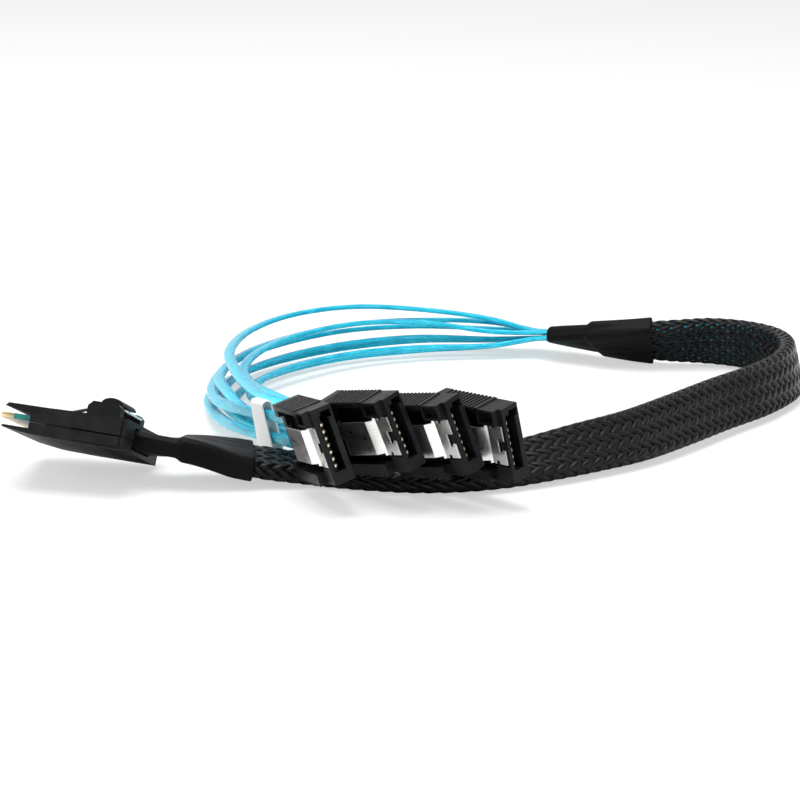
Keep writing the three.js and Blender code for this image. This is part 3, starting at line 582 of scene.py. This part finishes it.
def section_at(route, leans, fraction):
    """Section whose wide side starts level and turns up by the lean"""
    t = route.parameter(fraction)
    tangent = route.tangent(t)
    left = Vector((0, 0, 1)).cross(tangent).normalized()
    lift = tangent.cross(left).normalized()
    place = t * (len(leans) - 1)
    index = min(int(place), len(leans) - 2)
    lean = math.radians(leans[index] + (leans[index + 1] - leans[index]) * (place - index))
    wide = left * math.cos(lean) + lift * math.sin(lean)
    thin = lift * math.cos(lean) - left * math.sin(lean)
    return Section(route.point(t), wide, thin)


def pose_matrix(at, heading, pitch, roll):
    """Place of a plug: heading about Z, pitch nose up, roll about its nose"""
    turn = Matrix.Rotation(math.radians(heading), 4, "Z")
    turn = turn @ Matrix.Rotation(math.radians(-pitch), 4, "Y")
    turn = turn @ Matrix.Rotation(math.radians(roll), 4, "X")
    return Matrix.Translation(SHIFT + Vector(at)) @ turn


PLUG = pose_matrix(*PLUG_POSE)
CONNECTORS = [pose_matrix(*pose) for pose in CONNECTOR_POSES]


def rest_height(lean):
    """Height of the sleeve's middle when it rests on the table at a lean"""
    angle = math.radians(abs(lean))
    return TABLE_GAP + SLEEVE_HALF[0] * math.sin(angle) + SLEEVE_HALF[1] * math.cos(angle)


def trunk_sections(steps):
    """Sections of the bundle from the wide plug's rear to the breakout tube's end"""
    inside = PLUG @ Vector((PLUG_ENTRY, 0, PLUG_REAR_HEIGHT / 2))
    leave = PLUG @ Vector((-PLUG_LEAVE, 0, PLUG_REAR_HEIGHT / 2))
    laid = [SHIFT + Vector((x, y, rest_height(lean) + lift)) for x, y, lift, lean in TRUNK_ROUTE]
    leans = [-PLUG_POSE[3], -PLUG_POSE[3]] + [point[3] for point in TRUNK_ROUTE]
    route = Route([inside, leave] + laid)
    return [section_at(route, leans, i / steps) for i in range(steps + 1)]


def upright_lean(connector, points):
    """Lean that sets a strip's wide side along its connector's height"""
    up = connector.to_3x3() @ Vector((0, 0, 1))
    tangent = (points[-1] - points[-2]).normalized()
    left = Vector((0, 0, 1)).cross(tangent).normalized()
    lift = tangent.cross(left).normalized()
    return math.degrees(math.atan2(up.dot(lift), up.dot(left)))


def strip_sections(trunk, number, side, loose_steps):
    """Sections of one whole strip: through the bundle and on to its connector"""
    row = 0 if side > 0 else 1
    along = (number - (STRIP_COLUMNS - 1) / 2) * (STRIP_WIDTH + STRIP_GAP)
    across = (1 - row - (STRIP_ROWS - 1) / 2) * (STRIP_THICKNESS + STRIP_GAP)
    lanes = [Section(s.at(along, across), s.wide, s.thin) for s in trunk]
    end = lanes[-1].centre
    lead = end + (end - lanes[-2].centre).normalized() * FIRST_RUN
    connector = CONNECTORS[number]
    height = side * (STRIP_WIDTH / 2 + STRIP_SPREAD)
    backs = (CONNECTOR_LENGTH + STRAIGHT_RUN, CONNECTOR_LENGTH + LAST_RUN, STRIP_STOP)
    free = [end, lead] + [SHIFT + Vector(point) for point in STRIP_ROUTES[2 * number + row]]
    points = free + [connector @ Vector((-back, SLOT_MIDDLE, height)) for back in backs]
    upright = upright_lean(connector, points)
    leans = [TRUNK_ROUTE[-1][3]] * 2 + [LOOSE_LEAN] * (len(free) - 2)
    leans[-1] = upright if number == LABELLED_CONNECTOR else (LOOSE_LEAN + upright) / 2
    leans += [upright] * len(backs)
    route = Route(points)
    return lanes + [section_at(route, leans, i / loose_steps) for i in range(1, loose_steps + 1)]


# Mesh helpers

def new_piece(name, mesh, body="cable"):
    """Object for a mesh, in the scene and riding on a body"""
    piece = bpy.data.objects.new(name, mesh)
    bpy.context.collection.objects.link(piece)
    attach(piece, body)
    return piece


def ring_faces(start, rings, count, is_capped=True):
    """Faces through rings of points that are numbered from a start, with the caps of
    a bar"""
    faces = []
    for low in range(start, start + (rings - 1) * count, count):
        for j in range(count):
            k = (j + 1) % count
            faces.append((low + j, low + k, low + count + k, low + count + j))
    if is_capped:
        faces.append(tuple(reversed(range(start, start + count))))
        faces.append(tuple(range(start + (rings - 1) * count, start + rings * count)))
    return faces


def ring_places(sides, rings, spacing=1.0, is_capped=True):
    """Places of those faces' corners on a map: distance along, then each side's ends"""
    places = []
    for i in range(rings - 1):
        near, far = i * spacing, (i + 1) * spacing
        places += [[(near, low), (near, high), (far, high), (far, low)] for low, high in sides]
    if is_capped:
        places += [[(0, 0)] * len(sides)] * 2
    return places


def smooth_mesh(name, points, faces, map_name, places, material):
    """Smooth mesh with a map and a material"""
    mesh = bpy.data.meshes.new(name)
    mesh.from_pydata(points, [], faces)
    mesh.polygons.foreach_set("use_smooth", [True] * len(faces))
    mesh.uv_layers.new(name=map_name)
    flat = [number for corners in places for place in corners for number in place]
    mesh.uv_layers[map_name].data.foreach_set("uv", flat)
    mesh.materials.append(material)
    return mesh


def mesh_from_rings(name, rings, map_name, material, spacing=1.0, is_capped=True):
    """Smooth mesh through rings of points; its map gives the distance along in rings times
    the spacing and the share of the way round"""
    count = len(rings[0])
    points = [point for ring in rings for point in ring]
    sides = [(j / count, (j + 1) / count) for j in range(count)]
    faces = ring_faces(0, len(rings), count, is_capped)
    places = ring_places(sides, len(rings), spacing, is_capped)
    return smooth_mesh(name, points, faces, map_name, places, material)


def face_outward(mesh, merge=None):
    """Turn a mesh's faces outward, with points closer than a distance joined first"""
    shape = bmesh.new()
    shape.from_mesh(mesh)
    if merge:
        bmesh.ops.remove_doubles(shape, verts=shape.verts, dist=merge)
    bmesh.ops.recalc_face_normals(shape, faces=shape.faces)
    shape.to_mesh(mesh)
    shape.free()


def strip_profile():
    """Flat twin-lead section: two rounded lobes joined by a thinner web"""
    half_wide, half_thin = STRIP_WIDTH / 2, STRIP_THICKNESS / 2
    profile = []
    for i in range(STRIP_POINTS):
        angle = 2 * math.pi * (i + 0.5) / STRIP_POINTS
        x = math.copysign(abs(math.cos(angle)) ** STRIP_ROUNDNESS, math.cos(angle))
        y = math.copysign(abs(math.sin(angle)) ** STRIP_ROUNDNESS, math.sin(angle))
        groove = 1 - STRIP_GROOVE * math.exp(-(x / STRIP_GROOVE_WIDTH) ** 2)
        profile.append((half_wide * x, half_thin * y * groove))
    return profile


TRUNK = trunk_sections(TRUNK_STEPS)
TRUNK_LENGTH = sum((b.centre - a.centre).length for a, b in zip(TRUNK, TRUNK[1:]))


def trunk_at(share):
    """Section of the bundle at a share of its length"""
    place = min(max(share, 0), 1) * (len(TRUNK) - 1)
    index = min(int(place), len(TRUNK) - 2)
    first, second, weight = TRUNK[index], TRUNK[index + 1], place - index
    return Section(first.centre.lerp(second.centre, weight), first.wide.lerp(second.wide, weight),
                   first.thin.lerp(second.thin, weight))


def section_outline(half, corner, count):
    """Even points with their normals round a rounded rectangle, as a loop"""
    sides = (2 * (half[1] - corner), 2 * (half[0] - corner)) * 2
    arc = math.pi * corner / 2
    length = sum(sides) + 4 * arc
    outline = []
    for i in range(count):
        left = length * i / count
        side = 0
        while left > sides[side] + arc:
            left -= sides[side] + arc
            side += 1
        bend = max(left - sides[side], 0) / corner
        run = min(left, sides[side])
        turn = Matrix.Rotation(side * math.pi / 2, 2)
        reach = half if side % 2 == 0 else (half[1], half[0])
        base = Vector((reach[0] - corner, corner - reach[1] + run))
        normal = Vector((math.cos(bend), math.sin(bend)))
        outline.append((turn @ (base + normal * corner), turn @ normal))
    return outline, length


# Shaped pieces

def yarn_points(way, yarn, outline, around):
    """Points of one yarn, which rises and dips as it crosses the others"""
    share = SLEEVE_END - SLEEVE_START
    along = share * TRUNK_LENGTH
    slant = math.atan2(BRAID_TURNS * around, along)
    points = []
    for step in range(BRAID_STEPS + 1):
        run = step / BRAID_STEPS
        phase = 2 * yarn + way * 2 * YARNS * BRAID_TURNS * run
        wave = way * math.cos(math.pi / 2 * (phase - 0.5))
        lift = YARN_SWING * max(-1, min(1, YARN_STAY * wave))
        opened = min(max((run - BRAID_OPENS) / BRAID_OPENS_OVER, 0), 1)
        for side, face in YARN_PROFILE:
            aside = side * YARN_WIDTH / 2 * (1 - BRAID_OPENING * opened)
            place = run - way * math.sin(slant) * aside / along
            section = trunk_at(SLEEVE_START + share * place)
            turn = (yarn / YARNS + way * BRAID_TURNS * run + math.cos(slant) * aside / around) % 1
            spot, normal = outline[int(turn * OUTLINE_STEPS) % OUTLINE_STEPS]
            spot = spot + normal * (lift + face * YARN_THICKNESS / 2)
            points.append(section.at(*spot))
    return points


def add_braid(material):
    """Braided sleeve: flat yarns that run both ways round, each over two and
    under two of the others"""
    skin = [half - YARN_SWING - YARN_THICKNESS for half in SLEEVE_HALF]
    outline, around = section_outline(skin, BRAID_CORNER, OUTLINE_STEPS)
    count = len(YARN_PROFILE)
    sides = [(YARN_PROFILE[j][0], YARN_PROFILE[(j + 1) % count][0]) for j in range(count)]
    points, faces, places = [], [], []
    for way in (1, -1):
        for yarn in range(YARNS):
            faces += [face[::way] for face in ring_faces(len(points), BRAID_STEPS + 1, count)]
            places += [corners[::way] for corners in ring_places(sides, BRAID_STEPS + 1)]
            points += yarn_points(way, yarn, outline, around)
    braid = new_piece("braid", smooth_mesh("braid", points, faces, YARN_MAP, places, material))
    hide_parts("braided_sleeve")


def tube_radii(share, tight, loose, tight_end, loose_start):
    """Half sizes of a tube that swells from one stretch to the other"""
    weight = min(max((share - tight_end) / (loose_start - tight_end), 0), 1)
    weight = weight * weight * (3 - 2 * weight)
    return [a + (b - a) * weight for a, b in zip(tight, loose)]


def tube_crease(angle, step):
    """Depth of the drawn lines at a place on a tube, from 0 to 1"""
    lines = math.sin(9 * angle + 3 * math.sin(4 * angle))
    return 0.5 + 0.5 * (lines * math.sin(0.11 * step + 5 * angle))


def tube_rings(shares, swell):
    """Rings of points along a tube's skin, back through its bore and round its mouth"""
    tight = (BUNDLE_WIDTH / 2 + SHRINK_PLAY, BUNDLE_HEIGHT / 2 + SHRINK_PLAY)
    loose = [half + SHRINK_PLAY for half in SLEEVE_HALF]
    outer, inner = [], []
    for i in range(TUBE_STEPS + 1):
        share = shares[0] + (shares[1] - shares[0]) * i / TUBE_STEPS
        section = trunk_at(share)
        bore = tube_radii(share, tight, loose, *swell)
        wall = SHRINK_WALL * (TUBE_MOUTH if i in (0, TUBE_STEPS) else 1)
        skin = section_outline([size + wall for size in bore], TUBE_CORNER, TUBE_POINTS)[0]
        ring = []
        for j, (spot, normal) in enumerate(skin):
            depth = tube_crease(2 * math.pi * j / TUBE_POINTS, i)
            ring.append(section.at(*(spot - normal * TUBE_CREASE * depth)))
        outer.append(ring)
        hole = section_outline(bore, TUBE_BORE_CORNER, TUBE_POINTS)[0]
        inner.append([section.at(*spot) for spot, normal in hole])
    return outer + inner[::-1] + [outer[0]]


def add_tube(name, node, shares, swell, material):
    """Shrink tube with drawn lines along it, open at both ends"""
    rings = tube_rings(shares, swell)
    mesh = mesh_from_rings(name, rings, TUBE_MAP, material, TUBE_MAP_STEP, False)
    face_outward(mesh, TUBE_MERGE)
    tube = new_piece(name, mesh)
    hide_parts(node)


def local_map(mesh, pose):
    """Map of each face's place in its plug's own directions, in millimetres"""
    inverse = pose.inverted()
    turn = inverse.to_3x3()
    layer = mesh.uv_layers.new(name=LOCAL_MAP)
    for polygon in mesh.polygons:
        normal = turn @ polygon.normal
        second = 1 if abs(normal.z) > abs(normal.y) else 2
        for corner in polygon.loop_indices:
            place = inverse @ mesh.vertices[mesh.loops[corner].vertex_index].co
            layer.data[corner].uv = (place.x / MM, place[second] / MM)


def soften(node, name, material, pose, radius, body="cable"):
    """Moulded or stamped copy of a solid: flat faces joined and edges rounded"""
    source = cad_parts[node]
    shape = bmesh.new()
    shape.from_mesh(source.data)
    shape.transform(source.matrix_world)
    bmesh.ops.remove_doubles(shape, verts=shape.verts, dist=MERGE_DISTANCE)
    bmesh.ops.dissolve_limit(shape, angle_limit=math.radians(FLAT_ANGLE), verts=shape.verts,
                             edges=shape.edges)
    sharp = [edge for edge in shape.edges
             if len(edge.link_faces) == 2 and edge.calc_face_angle(0) > math.radians(SHARP_ANGLE)]
    bmesh.ops.bevel(shape, geom=sharp, offset=radius, segments=2, profile=0.5, affect="EDGES",
                    clamp_overlap=True)
    bmesh.ops.recalc_face_normals(shape, faces=shape.faces)
    mesh = bpy.data.meshes.new(name)
    shape.to_mesh(mesh)
    shape.free()
    mesh.polygons.foreach_set("use_smooth", [True] * len(mesh.polygons))
    local_map(mesh, pose)
    mesh.materials.append(material)
    piece = new_piece(name, mesh, body)
    weight = piece.modifiers.new("even_shading", "WEIGHTED_NORMAL")
    weight.keep_sharp = True
    weight.weight = 100
    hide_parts(node)
    return piece


def add_contacts(number, pose, material):
    """Bent tips of a drive connector's seven contacts, in the lip of its mouth"""
    points, faces = [], []
    for i in range(CONTACT_COUNT):
        middle = CONTACT_PITCH * (i - (CONTACT_COUNT - 1) / 2)
        faces += ring_faces(len(points), len(CONTACT_PATH), len(CONTACT_CORNERS))
        for (x, y), (dx, dy) in CONTACT_PATH:
            for side, out in CONTACT_CORNERS:
                thick = out * CONTACT_SHEET / 2
                spot = Vector((x + dx * thick, y + dy * thick, middle + side * CONTACT_WIDTH / 2))
                points.append(pose @ spot)
    mesh = bpy.data.meshes.new(f"contacts_{number}")
    mesh.from_pydata(points, [], faces)
    face_outward(mesh)
    mesh.materials.append(material)
    piece = new_piece(f"contacts_{number}", mesh)
    bevel = piece.modifiers.new("rounding", "BEVEL")
    bevel.width = CONTACT_ROUNDING
    bevel.segments = 2


def add_strips(material):
    """The eight flat strips, each one piece, returned with the centre points it follows"""
    profile = strip_profile()
    trunk = trunk_sections(LANE_STEPS)
    strips = []
    for number in range(len(CONNECTORS)):
        for side, letter in ((1, "a"), (-1, "b")):
            sections = strip_sections(trunk, number, side, STRIP_STEPS)
            rings = [[s.at(along, across) for along, across in profile] for s in sections]
            name = f"strip_{number + 1}{letter}"
            mesh = mesh_from_rings(name, rings, STRIP_MAP, material)
            strip = new_piece(f"jacket_{number + 1}{letter}", mesh)
            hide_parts(name)
            strips.append((strip, [section.centre for section in sections]))
    return strips


def add_plug():
    """Wide plug: shells, card, release lever and thumb pad"""
    moulding = moulded_plastic("plug_moulding", (0.003, 0.003, 0.0035), (0.010, 0.010, 0.010),
                               0.46, 0.60)
    steel = rolled_steel("lever_steel")
    soften("sas_lower_shell", "lower_shell", moulding, PLUG, 0.00012)
    soften("sas_upper_shell", "upper_shell", moulding, PLUG, 0.00012)
    soften("sas_paddle_card", "paddle_card", circuit_card("card"), PLUG, 0.00004)
    soften("sas_release_lever", "release_lever", steel, PLUG, 0.00008, "sas_release")
    soften("sas_thumb_pad", "thumb_pad", moulding, PLUG, 0.00015, "sas_release")


def add_drive_connectors():
    """Four drive connectors with their latches and contacts"""
    moulding = moulded_plastic("connector_moulding", (0.003, 0.003, 0.0035), (0.010, 0.010, 0.011),
                               0.32, 0.46)
    steel = rolled_steel("latch_steel")
    gold = gilt("contact_gilt")
    for number, pose in enumerate(CONNECTORS, 1):
        soften(f"sata_housing_{number}", f"housing_{number}", moulding, pose, 0.0001)
        soften(f"sata_wafer_{number}", f"wafer_{number}", moulding, pose, 0.00004)
        soften(f"sata_latch_{number}", f"latch_spring_{number}", steel, pose, 0.00006,
               f"latch_{number}")
        add_contacts(number, pose, gold)


add_camera()
add_studio()
strips = add_strips(twin_lead("strip_jacket"))
add_plug()
add_drive_connectors()
soften("cable_label", "label", label_paper("label_paper"), CONNECTORS[0], 0.00004)
add_braid(braid_yarn("braid_yarn"))
tube_finish = shrunk_tube("shrink_tube")
add_tube("plug_tube", "sas_shrink_tube", (0.0, FRONT_SHRINK_END),
         (SLEEVE_START - SHRINK_SHOULDER, SLEEVE_START - SHRINK_SHOULDER / 4), tube_finish)
add_tube("breakout_tube", "breakout_shrink_tube", (REAR_SHRINK_END, REAR_SHRINK_START),
         (SLEEVE_END + SHRINK_SHOULDER, SLEEVE_END + SHRINK_SHOULDER / 4), tube_finish)

scene = bpy.context.scene
scene.view_settings.view_transform = "Standard"
